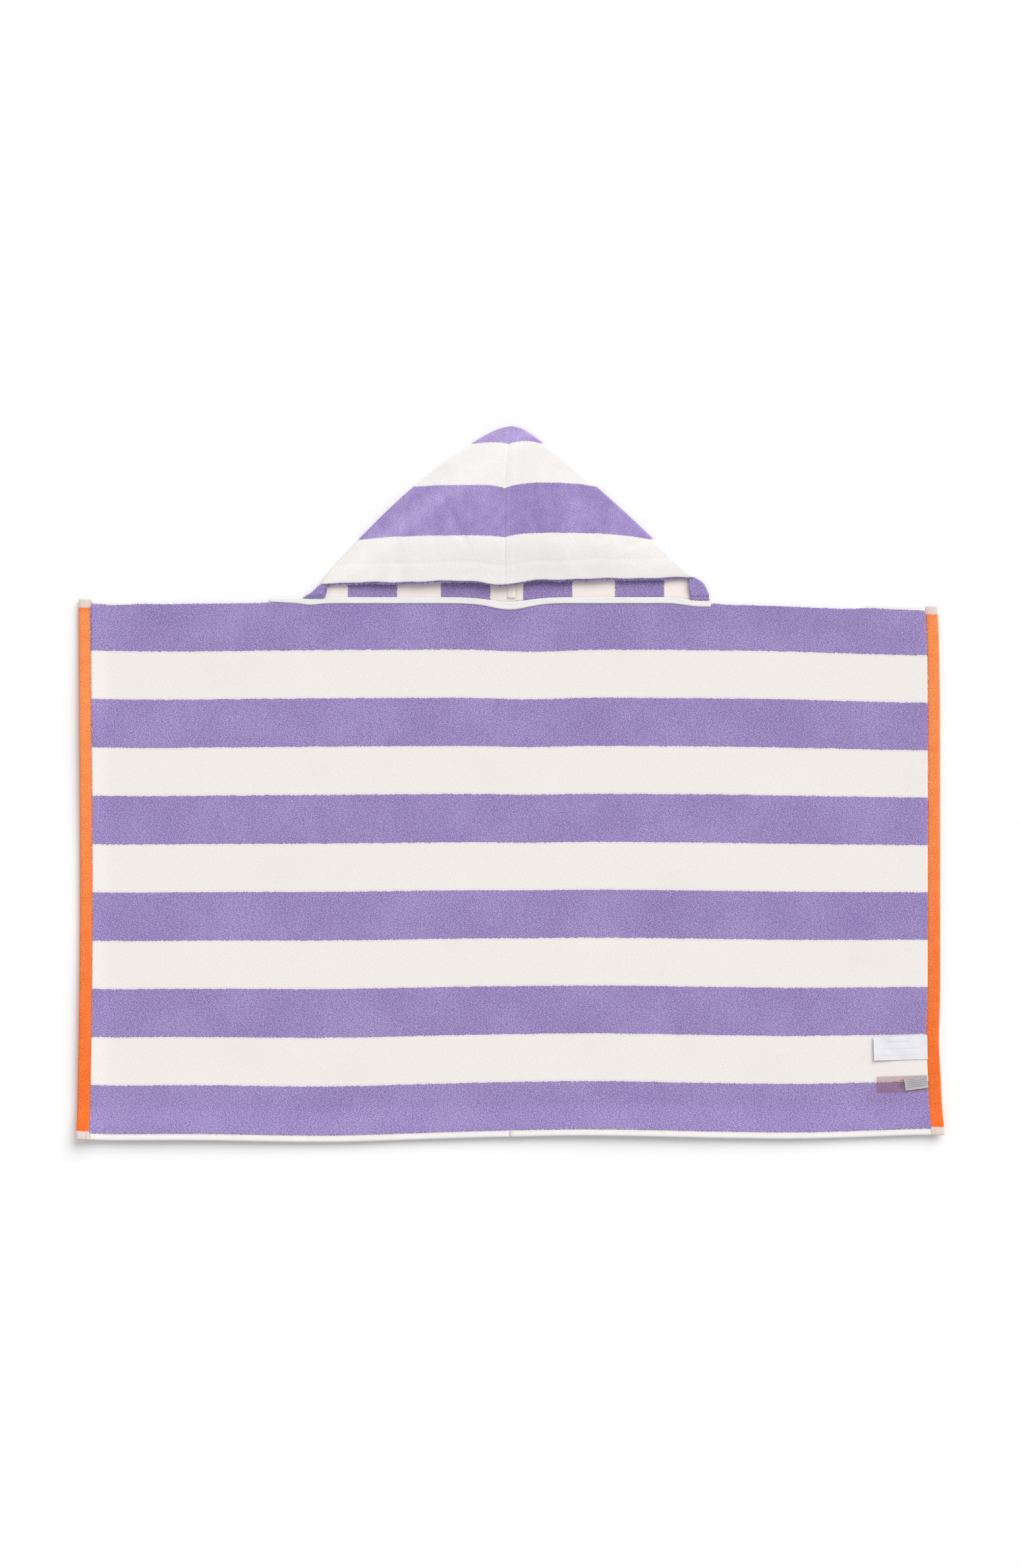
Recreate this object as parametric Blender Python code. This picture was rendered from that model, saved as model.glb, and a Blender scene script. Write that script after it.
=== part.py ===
"""Hooded baby towel, laid flat on its back with the hood spread out above the top edge.

The towel is one long terry cloth. Orange end hems and white side hems are turned onto its upper
face and stitched down. The hood is two folded panels: their back layers lie flat, their front layers
rise a little from them at the mouth, and a crown seam and a back seam join left to right. A white
tape covers the neck seam. Labels are caught under the right-hand end hem.

+X runs along the towel, +Y from the towel's lower edge to the hood's tip, and +Z up. The origin is
under the middle of the whole outline. Every moving piece hangs from an empty on its fold line.
"""
import math

import bmesh
import bpy

# The cloth
TOWEL_LENGTH = 1.22      # end to end
TOWEL_WIDTH = 0.768      # lower edge to neck seam
CLOTH = 0.004            # one layer of terry, pile included
GAP = 0.0003             # clearance between pieces that touch

# Turned hems and the thread in them
END_HEM_WIDTH = 0.017
END_HEM_PLY = 0.0016
SIDE_HEM_WIDTH = 0.009
SIDE_HEM_PLY = 0.0012
THREAD_RADIUS = 0.0003
STITCH_INSET = 0.002     # thread to the edge that it holds down

# The side panels wrap over the child, along a fold line this far outside the hood's corners
HOOD_TO_WRAP_FOLD = 0.063

# The hood
HOOD_HEIGHT = 0.240      # neck seam to tip
HOOD_HALF_WIDTH = 0.287
HOOD_TIP_RADIUS = 0.060
FRONT_LAYER = 0.0035     # velour layer
FRONT_SETBACK = 0.016    # neck seam to the front layer's hem
POCKET_RISE = 0.020      # how far the front layer stands off the back layer, at the mouth's middle
POCKET_FALL = 0.8        # power with which that rise dies away towards the tip
HOOD_HEM_WIDTH = 0.025
HOOD_HEM_PLY = 0.002
SEAM_ALLOWANCE = 0.012
SEAM_ALLOWANCE_PLY = 0.0012
CROWN_TOPSTITCH = 0.006  # crown seam to its topstitching

# The neck tape, which runs past the hood at its left end
TAPE_WIDTH = 0.011
TAPE_THICKNESS = 0.0012
TAPE_PAST_LEFT = 0.045
TAPE_PAST_RIGHT = 0.004

# Labels: length along X, width along Y, and their middle's height above the lower edge
LABEL_THICKNESS = 0.0004
NAME_LABEL = (0.073, 0.033)
NAME_LABEL_RISE = 0.126
MAKER_LABEL = (0.070, 0.0245)
MAKER_LABEL_RISE = 0.0765
CARE_LABEL = (0.033, 0.0235)
CARE_LABEL_RISE = 0.079

# Rows and columns of the curved layers
COLUMNS = 10
ROWS = 12
THREAD_STEPS = 20
TIP_FLAT = 0.005         # share of the tip's radius left off where the front layer's rows end

# Derived places
Y_LOWER = -(TOWEL_WIDTH + HOOD_HEIGHT) / 2
Y_NECK = Y_LOWER + TOWEL_WIDTH
X_END = TOWEL_LENGTH / 2
X_END_HEM = X_END - END_HEM_WIDTH
X_WRAP = HOOD_HALF_WIDTH + HOOD_TO_WRAP_FOLD
Z_PLY = CLOTH + GAP                              # underside of whatever lies on the cloth
THREAD_HEIGHT = 2 * THREAD_RADIUS + 2 * GAP      # a thread with a gap below and above it
Z_TAPE = Z_PLY + SIDE_HEM_PLY + GAP
Z_FOLD = Z_TAPE + TAPE_THICKNESS + THREAD_HEIGHT
Z_LABEL_FOLD = Z_PLY + END_HEM_PLY + THREAD_HEIGHT


def material(name, colour, roughness=0.9):
    """A cloth or thread colour."""
    made = bpy.data.materials.new(name)
    made.use_nodes = True
    shader = made.node_tree.nodes["Principled BSDF"]
    shader.inputs["Base Color"].default_value = (*colour, 1.0)
    shader.inputs["Roughness"].default_value = roughness
    shader.inputs["Metallic"].default_value = 0.0
    return made


def joint_empty(name, location, parent=None):
    """An empty on a fold line. It isn't a piece."""
    empty = bpy.data.objects.new(name, None)
    empty.empty_display_size = 0.03
    bpy.context.scene.collection.objects.link(empty)
    if parent:
        empty.parent = parent
        empty.location = [a - b for a, b in zip(location, parent.matrix_world.translation)]
    else:
        empty.location = location
    bpy.context.view_layer.update()
    return empty


def place(obj, colour, pivot):
    """Link a piece whose points are in world places, and hang it from its fold line's empty."""
    bpy.context.scene.collection.objects.link(obj)
    obj.data.materials.append(colour)
    if pivot:
        obj.parent = pivot
        obj.location = -pivot.matrix_world.translation
    return obj


def slab(name, low, high, colour, pivot=None):
    """A flat rectangular piece between two corners."""
    bm = bmesh.new()
    bmesh.ops.create_cube(bm, size=1.0)
    size = [b - a for a, b in zip(low, high)]
    middle = [(a + b) / 2 for a, b in zip(low, high)]
    bmesh.ops.scale(bm, vec=size, verts=bm.verts)
    bmesh.ops.translate(bm, vec=middle, verts=bm.verts)
    mesh = bpy.data.meshes.new(name)
    bm.to_mesh(mesh)
    bm.free()
    return place(bpy.data.objects.new(name, mesh), colour, pivot)


def outline_slab(name, outline, z_low, thickness, colour, pivot=None):
    """A flat piece with a closed outline, extruded upwards."""
    bm = bmesh.new()
    face = bm.faces.new([bm.verts.new((x, y, z_low)) for x, y in outline])
    raised = bmesh.ops.extrude_face_region(bm, geom=[face])
    top = [item for item in raised["geom"] if isinstance(item, bmesh.types.BMVert)]
    bmesh.ops.translate(bm, vec=(0, 0, thickness), verts=top)
    bmesh.ops.recalc_face_normals(bm, faces=bm.faces)
    mesh = bpy.data.meshes.new(name)
    bm.to_mesh(mesh)
    bm.free()
    return place(bpy.data.objects.new(name, mesh), colour, pivot)


def curved_layer(name, rows, thickness, colour, pivot=None):
    """A layer of even thickness above rows of points on its underside."""
    bm = bmesh.new()
    lower = [[bm.verts.new(point) for point in row] for row in rows]
    faces = []
    for first, second in zip(lower, lower[1:]):
        for i in range(len(first) - 1):
            faces.append(bm.faces.new((first[i], first[i + 1], second[i + 1], second[i])))
    raised = bmesh.ops.extrude_face_region(bm, geom=faces)
    top = [item for item in raised["geom"] if isinstance(item, bmesh.types.BMVert)]
    bmesh.ops.translate(bm, vec=(0, 0, thickness), verts=top)
    bmesh.ops.recalc_face_normals(bm, faces=bm.faces)
    mesh = bpy.data.meshes.new(name)
    bm.to_mesh(mesh)
    bm.free()
    mesh.shade_smooth()
    mesh.set_sharp_from_angle(angle=math.radians(40))
    return place(bpy.data.objects.new(name, mesh), colour, pivot)


def thread(name, points, colour, pivot=None):
    """A line of stitching, as one closed round thread."""
    curve = bpy.data.curves.new(name, "CURVE")
    curve.dimensions = "3D"
    curve.bevel_depth = THREAD_RADIUS
    curve.bevel_resolution = 1
    curve.use_fill_caps = True
    spline = curve.splines.new("POLY")
    spline.points.add(len(points) - 1)
    for target, point in zip(spline.points, points):
        target.co = (*point, 1.0)
    return place(bpy.data.objects.new(name, curve), colour, pivot)


def hood_slope():
    """Angle of the hood's slanted edges: each is tangent to the tip's round."""
    angle = math.atan2(HOOD_HEIGHT, HOOD_HALF_WIDTH)
    for _ in range(20):
        apex = HOOD_HEIGHT - HOOD_TIP_RADIUS + HOOD_TIP_RADIUS / math.cos(angle)
        angle = math.atan2(apex, HOOD_HALF_WIDTH)
    return angle, apex


HOOD_SLOPE, HOOD_APEX = hood_slope()
TIP_TANGENT = HOOD_HEIGHT - HOOD_TIP_RADIUS * (1 - math.cos(HOOD_SLOPE))


def hood_half_width(height):
    """Half of the hood's width, at a height above the neck seam."""
    if height <= TIP_TANGENT:
        return HOOD_HALF_WIDTH * (1 - height / HOOD_APEX)
    above_centre = height - (HOOD_HEIGHT - HOOD_TIP_RADIUS)
    return math.sqrt(max(HOOD_TIP_RADIUS ** 2 - above_centre ** 2, 0.0))


def pocket_gap(x, height):
    """Space between the hood's back and front layers."""
    across = 1 - (x / hood_half_width(height)) ** 2
    return GAP + POCKET_RISE * max(across, 0.0) * (1 - height / HOOD_HEIGHT) ** POCKET_FALL


def front_underside(x, height):
    return (x, Y_NECK + height, CLOTH + pocket_gap(x, height))


def front_top(x, height, above=GAP + THREAD_RADIUS):
    """A point just above the front layer, where a thread's middle lies."""
    x, y, z = front_underside(x, height)
    return (x, y, z + FRONT_LAYER + above)


def pocket_height_limit(thickness):
    """Height above the neck seam where a ply this thick still fits in the pocket."""
    return HOOD_HEIGHT * (1 - (thickness / POCKET_RISE) ** (1 / POCKET_FALL))


def pocket_reach(thickness, height):
    """Share of the half width, at a height, where a ply this thick still fits in the pocket."""
    rise = POCKET_RISE * (1 - height / HOOD_HEIGHT) ** POCKET_FALL
    return math.sqrt(1 - thickness / rise)


def span(start, stop, count):
    """Evenly spaced values, both ends included."""
    return [start + (stop - start) * i / count for i in range(count + 1)]


for old in list(bpy.data.objects):
    bpy.data.objects.remove(old, do_unlink=True)

lavender = material("terry_lavender", (0.38, 0.31, 0.60))
velour = material("velour_lavender", (0.42, 0.35, 0.66))
orange = material("woven_orange", (0.90, 0.24, 0.03))
white = material("woven_white", (0.85, 0.84, 0.80), 0.8)
satin = material("label_satin", (0.88, 0.87, 0.86), 0.45)
white_thread = material("thread_white", (0.86, 0.85, 0.82), 0.7)
orange_thread = material("thread_orange", (0.85, 0.25, 0.04), 0.7)

left_wrap = joint_empty("left_wrap_fold", (-X_WRAP, 0, Z_FOLD))
right_wrap = joint_empty("right_wrap_fold", (X_WRAP, 0, Z_FOLD))
hood_back = joint_empty("hood_fold", (0, Y_NECK, Z_FOLD))
hood_front = joint_empty("hood_opening", (0, Y_NECK + HOOD_HEIGHT, CLOTH), hood_back)


def towel_stretches():
    """The three stretches between the wrap folds: name, low X, high X and what carries each."""
    return (("left", -X_END, -X_WRAP - GAP / 2, left_wrap),
            ("centre", -X_WRAP + GAP / 2, X_WRAP - GAP / 2, None),
            ("right", X_WRAP + GAP / 2, X_END, right_wrap))


# The towel's cloth, with the plies of its side hems
for side, x_low, x_high, carrier in towel_stretches():
    slab(f"towel_{side}", (x_low, Y_LOWER, 0), (x_high, Y_NECK, CLOTH), lavender, carrier)
    hem_low = max(x_low, -X_END_HEM + GAP)
    hem_high = min(x_high, X_END_HEM - GAP)
    slab(f"lower_hem_{side}", (hem_low, Y_LOWER, Z_PLY),
         (hem_high, Y_LOWER + SIDE_HEM_WIDTH, Z_PLY + SIDE_HEM_PLY), white, carrier)
    slab(f"top_hem_{side}", (hem_low, Y_NECK - SIDE_HEM_WIDTH, Z_PLY),
         (hem_high, Y_NECK, Z_PLY + SIDE_HEM_PLY), white, carrier)
    z_thread = Z_PLY + SIDE_HEM_PLY + GAP + THREAD_RADIUS
    y_thread = Y_LOWER + SIDE_HEM_WIDTH - STITCH_INSET
    thread(f"lower_hem_thread_{side}", [(hem_low + GAP, y_thread, z_thread),
                                        (hem_high - GAP, y_thread, z_thread)], white_thread, carrier)
    if carrier:
        y_thread = Y_NECK - SIDE_HEM_WIDTH + STITCH_INSET
        thread(f"top_hem_thread_{side}", [(hem_low + GAP, y_thread, z_thread),
                                          (hem_high - GAP, y_thread, z_thread)], white_thread, carrier)

# The orange end hems
for side, sign, carrier in (("left", -1, left_wrap), ("right", 1, right_wrap)):
    x_low, x_high = sorted((sign * X_END_HEM, sign * X_END))
    slab(f"end_hem_{side}", (x_low, Y_LOWER, Z_PLY), (x_high, Y_NECK, Z_PLY + END_HEM_PLY), orange, carrier)
    x_thread = sign * (X_END_HEM + STITCH_INSET)
    z_thread = Z_PLY + END_HEM_PLY + GAP + THREAD_RADIUS
    thread(f"end_hem_thread_{side}", [(x_thread, Y_LOWER + STITCH_INSET, z_thread),
                                      (x_thread, Y_NECK - STITCH_INSET, z_thread)], orange_thread, carrier)

# The tape over the neck seam, with a line of stitching along each of its edges
tape_low = -HOOD_HALF_WIDTH - TAPE_PAST_LEFT
tape_high = HOOD_HALF_WIDTH + TAPE_PAST_RIGHT
slab("neck_tape", (tape_low, Y_NECK - TAPE_WIDTH, Z_TAPE), (tape_high, Y_NECK, Z_TAPE + TAPE_THICKNESS), white)
z_thread = Z_TAPE + TAPE_THICKNESS + GAP + THREAD_RADIUS
for edge, y_thread in (("upper", Y_NECK - STITCH_INSET), ("lower", Y_NECK - TAPE_WIDTH + STITCH_INSET)):
    thread(f"neck_tape_thread_{edge}", [(tape_low + STITCH_INSET, y_thread, z_thread),
                                        (tape_high - STITCH_INSET, y_thread, z_thread)], white_thread)

# The hood's back layers, flat, with a rounded tip
tip_centre = Y_NECK + HOOD_HEIGHT - HOOD_TIP_RADIUS
for side, sign in (("left", -1), ("right", 1)):
    outline = [(sign * GAP / 2, Y_NECK + GAP), (sign * HOOD_HALF_WIDTH, Y_NECK + GAP)]
    for angle in span(math.pi / 2 - HOOD_SLOPE, math.pi / 2, 8)[:-1]:
        outline.append((sign * HOOD_TIP_RADIUS * math.cos(angle),
                        tip_centre + HOOD_TIP_RADIUS * math.sin(angle)))
    outline.append((sign * GAP / 2, Y_NECK + HOOD_HEIGHT))
    outline_slab(f"hood_back_{side}", outline, 0, CLOTH, lavender, hood_back)

# The hood's front layers and the hem turned up inside their mouth
hem_top = FRONT_SETBACK + HOOD_HEM_WIDTH
hem_reach = pocket_reach(HOOD_HEM_PLY + 2 * GAP, hem_top)
tip_row = HOOD_HEIGHT - HOOD_TIP_RADIUS * TIP_FLAT
for side, sign in (("left", -1), ("right", 1)):
    rows = []
    for share in span(0, 1, ROWS):
        height = FRONT_SETBACK + (tip_row - FRONT_SETBACK) * (1 - (1 - share) ** 1.5)
        rows.append([front_underside(sign * x, height)
                     for x in span(GAP / 2, hood_half_width(height), COLUMNS)])
    curved_layer(f"hood_front_{side}", rows, FRONT_LAYER, velour, hood_front)
    rows = []
    for height in span(FRONT_SETBACK, hem_top, 2):
        row = [front_underside(sign * x, height)
               for x in span(GAP / 2, hem_reach * hood_half_width(height), 2 * COLUMNS)]
        rows.append([(x, y, z - GAP - HOOD_HEM_PLY) for x, y, z in row])
    curved_layer(f"hood_hem_{side}", rows, HOOD_HEM_PLY, velour, hood_front)
    line = hem_top - STITCH_INSET
    thread(f"hood_hem_thread_{side}",
           [front_top(sign * x, line) for x in span(2 * GAP, hem_reach * hood_half_width(line), THREAD_STEPS)],
           white_thread, hood_front)

# The crown seam's allowance, felled to the right under the front layer, and its topstitching
seam_top = pocket_height_limit(SEAM_ALLOWANCE_PLY + 3 * GAP)
rows = []
for height in span(hem_top + GAP, seam_top, ROWS):
    row = [front_underside(x, height) for x in span(GAP, SEAM_ALLOWANCE, 2)]
    rows.append([(x, y, z - GAP - SEAM_ALLOWANCE_PLY) for x, y, z in row])
curved_layer("crown_seam_allowance", rows, SEAM_ALLOWANCE_PLY, velour, hood_front)
thread("crown_topstitch", [front_top(CROWN_TOPSTITCH, height)
                           for height in span(hem_top + STITCH_INSET, seam_top, THREAD_STEPS)],
       white_thread, hood_front)

# The back seam's allowance, felled to the left on the back layer, and its stitching
slab("back_seam_allowance", (-SEAM_ALLOWANCE, Y_NECK + STITCH_INSET, Z_PLY),
     (-GAP, Y_NECK + seam_top - STITCH_INSET, Z_PLY + SEAM_ALLOWANCE_PLY), lavender, hood_back)
z_thread = Z_PLY + SEAM_ALLOWANCE_PLY + GAP + THREAD_RADIUS
back_thread_top = pocket_height_limit(SEAM_ALLOWANCE_PLY + THREAD_HEIGHT + 3 * GAP)
thread("back_seam_thread", [(-SEAM_ALLOWANCE + STITCH_INSET, Y_NECK + 2 * STITCH_INSET, z_thread),
                            (-SEAM_ALLOWANCE + STITCH_INSET, Y_NECK + back_thread_top, z_thread)],
       white_thread, hood_back)


def label(name, size, rise, z_low, fold_name, carrier):
    """A label whose sewn end lies at the right-hand end hem. It lifts about that end."""
    length, width = size
    x_high = X_END_HEM - GAP
    y_middle = Y_LOWER + rise
    fold = joint_empty(fold_name, (X_END_HEM, y_middle, Z_LABEL_FOLD), carrier)
    slab(name, (x_high - length, y_middle - width / 2, z_low),
         (x_high, y_middle + width / 2, z_low + LABEL_THICKNESS), satin, fold)
    return fold


# The labels: the care label lies on the maker label
label("name_label", NAME_LABEL, NAME_LABEL_RISE, Z_PLY, "name_label_flip", right_wrap)
maker_fold = label("maker_label", MAKER_LABEL, MAKER_LABEL_RISE, Z_PLY, "maker_label_flip", right_wrap)
label("care_label", CARE_LABEL, CARE_LABEL_RISE, Z_PLY + LABEL_THICKNESS + GAP, "care_label_flip", maker_fold)
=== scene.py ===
import math

import bmesh
import bpy
import numpy as np
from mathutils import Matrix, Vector, noise


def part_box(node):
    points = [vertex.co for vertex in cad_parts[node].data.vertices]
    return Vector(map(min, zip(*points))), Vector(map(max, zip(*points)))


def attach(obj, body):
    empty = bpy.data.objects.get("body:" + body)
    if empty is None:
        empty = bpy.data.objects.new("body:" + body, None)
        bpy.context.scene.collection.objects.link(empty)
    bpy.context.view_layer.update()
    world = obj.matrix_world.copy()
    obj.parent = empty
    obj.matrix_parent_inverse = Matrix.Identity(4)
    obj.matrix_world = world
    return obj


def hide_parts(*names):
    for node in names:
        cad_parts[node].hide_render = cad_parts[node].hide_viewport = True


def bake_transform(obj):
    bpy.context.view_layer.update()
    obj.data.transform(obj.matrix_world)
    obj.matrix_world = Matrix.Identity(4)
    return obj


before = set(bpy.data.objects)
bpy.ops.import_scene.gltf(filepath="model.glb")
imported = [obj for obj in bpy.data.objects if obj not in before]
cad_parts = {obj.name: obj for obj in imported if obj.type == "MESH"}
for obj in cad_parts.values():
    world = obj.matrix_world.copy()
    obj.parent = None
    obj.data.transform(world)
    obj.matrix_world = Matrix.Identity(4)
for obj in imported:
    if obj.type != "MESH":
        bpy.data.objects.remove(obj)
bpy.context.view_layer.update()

# ---------------------------------------------------------------------------------------------
# The towel's cloth. One terry towel with cotton loops on both faces, woven in lavender and cream
# stripes that run end to end. It lies flat and a little uneven, as a washed towel does. It is made
# here as two halves that meet in the middle.

towel_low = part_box("towel_left")[0]
towel_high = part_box("towel_right")[1]
NECK_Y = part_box("hood_back_left")[0][1]
HALF_LENGTH = (towel_high[0] - towel_low[0]) / 2
WIDTH = 0.763                # lower edge to top edge, cut flat
EDGE_SLIPS = 0.0012          # how far the lower edge has slipped down
LOWER_Y = towel_low[1] - EDGE_SLIPS
STRIPE = 0.06825             # each stripe, lavender and cream alike
FIRST_STRIPE = 0.0089        # lower edge to the first lavender stripe
END_HEM = 0.0168             # width of the orange hem
SIDE_HEM = 0.0086            # width of the white hem along the lower edge
SHEET_TOP = 0.0041           # height of the loops' tips
SHEET_UNDER = 0.0003
WOVEN_TOP = 0.0022           # height of the flat woven edge, where there are no loops
WOVEN_UNDER = 0.0013
EDGE_DROP = 0.0018           # distance in which the loops die away at a hem
MESH_STEP = 0.0034
# Along the top edge: how far it has crept down in the wash, and how much white hem shows there.
TOP_EDGE_AT = (-0.61, -0.592, -0.565, -0.54, -0.522, -0.44, -0.35, -0.30, -0.04, 0, 0.04,
               0.28, 0.31, 0.36, 0.42, 0.475, 0.495, 0.512, 0.588, 0.61)
TOP_EDGE_CREEP = (0, 0.0005, 0.0019, 0.0024, 0.0042, 0.0040, 0.0038, 0.0012, 0.0010, 0.0046, 0.0012,
                  0.0040, 0.0068, 0.0070, 0.0076, 0.0080, 0.0068, 0.0003, 0.0012, 0.0012)
TOP_HEM_SHOWS = (0.0060, 0.0060, 0.0063, 0.0042, -0.0012, -0.0012, -0.0012, 0.0016, 0.0016, 0.0016,
                 0.0016, 0.0016, -0.0012, -0.0012, -0.0012, -0.0012, 0.0002, 0.0060, 0.0066, 0.0066)


def ease(low, high, value):
    """0 below low, 1 above high, and a smooth step between them."""
    share = np.clip((value - low) / (high - low), 0, 1)
    return share * share * (3 - 2 * share)


def bell(centre, spread, value):
    """A bell-shaped rise of height 1."""
    return np.exp(-((value - centre) / spread) ** 2)


def drift(x, y, scale, seed):
    """Smooth unevenness between about -1 and 1, in patches of about this size."""
    x, y = np.broadcast_arrays(x, y)
    values = [noise.noise(Vector((a / scale, b / scale, seed))) for a, b in zip(x.flat, y.flat)]
    return np.array(values).reshape(x.shape) * 1.6


DRIFT_STEP = 0.02
drift_u = np.arange(-HALF_LENGTH - 0.04, HALF_LENGTH + 0.06, DRIFT_STEP)
drift_v = np.arange(-0.04, 1.06, DRIFT_STEP)
drift_grid = drift(drift_u[None, :], drift_v[:, None], 0.09, 4.0)


def unevenness(u, v):
    """How far the cloth stands off a flat table, at this flat place."""
    column = np.clip((u - drift_u[0]) / DRIFT_STEP, 0, len(drift_u) - 2)
    row = np.clip((v - drift_v[0]) / DRIFT_STEP, 0, len(drift_v) - 2)
    i, j = column.astype(int), row.astype(int)
    a, b = ease(0, 1, column - i), ease(0, 1, row - j)
    low = drift_grid[j, i] * (1 - a) + drift_grid[j, i + 1] * a
    high = drift_grid[j + 1, i] * (1 - a) + drift_grid[j + 1, i + 1] * a
    wave = 0.0005 * np.sin(11 * u + 6 * v + 3 * np.sin(5 * v)) * np.sin(12 * v + 1.5)
    curl = 0.0070 * ease(-HALF_LENGTH + 0.045, -HALF_LENGTH, u)
    curl = curl + 0.0012 * ease(HALF_LENGTH - 0.02, HALF_LENGTH, u)
    curl = curl * (1 + 0.3 * np.sin(14 * v)) + 0.0084 * ease(0.048, 0.0, v) * (1 + 0.15 * np.sin(9 * u))
    return np.maximum(0.0008 + wave + 0.0005 * (low * (1 - b) + high * b), 0) + curl


def lay(u, v, z):
    """Where a point of the flat cloth lies. u runs from the middle to the labelled end, v up from the
    lower edge, and z is the height above what the cloth lies on."""
    u, v, z = np.broadcast_arrays(u, v, z)
    across = u / HALF_LENGTH
    up = v / WIDTH
    down = 1 - up
    sag = 0.0051 * across ** 2 - 0.0019
    sag = sag + up ** 2 * (0.0037 * bell(0.05, 0.1, across) + 0.0047 * ease(0.5, 1, across)
                           - 0.0045 * bell(-1, 0.12, across))
    sag = sag + down ** 2 * (0.0056 * bell(-0.42, 0.25, across) - 0.0030 * bell(0.2, 0.22, across)
                             - 0.0065 * ease(0.6, 1, across) - 0.0034 * bell(-1, 0.05, across)
                             - 0.0022 * bell(1, 0.14, across))
    sag = sag + np.interp(u, TOP_EDGE_AT, TOP_EDGE_CREEP) * ease(WIDTH - 0.05, WIDTH, v)
    left = 0.0023 * np.sin(math.pi * up) - 0.0025 * down ** 6
    right = (0.0005 - 0.0042 * np.exp(-down / 0.08) - 0.0021 * bell(0.18, 0.06, up)
             + 0.0062 * np.exp(-up / 0.06))
    shift = left * ease(-0.2, -1, across) + right * ease(0.2, 1, across)
    return np.stack([u + shift, LOWER_Y + v - sag, z + unevenness(u, v)], axis=-1)


def spaced(start, stop, step, fine=()):
    """Values from start to stop a step apart, with finer ones at the given distances from each end."""
    count = max(2, round((stop - start) / step))
    values = set(np.linspace(start, stop, count + 1))
    for distance in fine:
        values |= {start + distance, stop - distance}
    values = sorted(values)
    kept = [values[0]]
    for value in values[1:-1]:
        if value - kept[-1] > 0.0002 and values[-1] - value > 0.0002:
            kept.append(value)
    return np.array(kept + [values[-1]])


def cloth_mesh(name, points, faces, flat, paint, sharp=None):
    """A closed mesh of cloth that knows where each of its points lies in the flat, uncut cloth."""
    mesh = bpy.data.meshes.new(name)
    mesh.vertices.add(len(points))
    mesh.vertices.foreach_set("co", points.ravel())
    mesh.loops.add(faces.size)
    mesh.loops.foreach_set("vertex_index", faces.ravel())
    mesh.polygons.add(len(faces))
    mesh.polygons.foreach_set("loop_start", np.arange(0, faces.size, 4))
    mesh.update(calc_edges=True)
    mesh.validate()
    place = mesh.attributes.new("flat", "FLOAT_VECTOR", "POINT")
    place.data.foreach_set("vector", np.column_stack([flat, np.zeros(len(flat))]).ravel())
    work = bmesh.new()
    work.from_mesh(mesh)
    bmesh.ops.recalc_face_normals(work, faces=work.faces)
    work.to_mesh(mesh)
    work.free()
    mesh.shade_smooth()
    if sharp is not None:
        crisp = mesh.attributes.new("sharp_edge", "BOOLEAN", "EDGE")
        edges = np.zeros(len(mesh.edges) * 2, dtype=int)
        mesh.edges.foreach_get("vertices", edges)
        crisp.data.foreach_set("value", np.isin(edges.reshape(-1, 2), list(sharp)).all(axis=1))
    mesh.materials.append(paint)
    made = bpy.data.objects.new(name, mesh)
    bpy.context.scene.collection.objects.link(made)
    return made


def layer(name, top, under, flat_top, flat_under, paint, sharp=()):
    """A closed layer of cloth between two equal grids of points. sharp names crisp sides."""
    rows, columns = top.shape[:2]
    index = np.arange(rows * columns).reshape(rows, columns)
    quad = np.stack([index[:-1, :-1], index[:-1, 1:], index[1:, 1:], index[1:, :-1]], axis=-1)
    loop = np.concatenate([index[0, :-1], index[:-1, -1], index[-1, :0:-1], index[:0:-1, 0]])
    after = np.roll(loop, -1)
    low = rows * columns
    wall = np.stack([loop, loop + low, after + low, after], axis=-1)
    faces = np.concatenate([quad.reshape(-1, 4), quad.reshape(-1, 4)[:, ::-1] + low, wall])
    points = np.concatenate([top.reshape(-1, 3), under.reshape(-1, 3)])
    flat = np.concatenate([flat_top.reshape(-1, 2), flat_under.reshape(-1, 2)])
    sides = {"first": index[:, 0], "last": index[:, -1], "round": loop}
    crisp = {int(i) for side in sharp for part in (0, low) for i in sides[side] + part}
    return cloth_mesh(name, points, faces, flat, paint, crisp or None)


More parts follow.
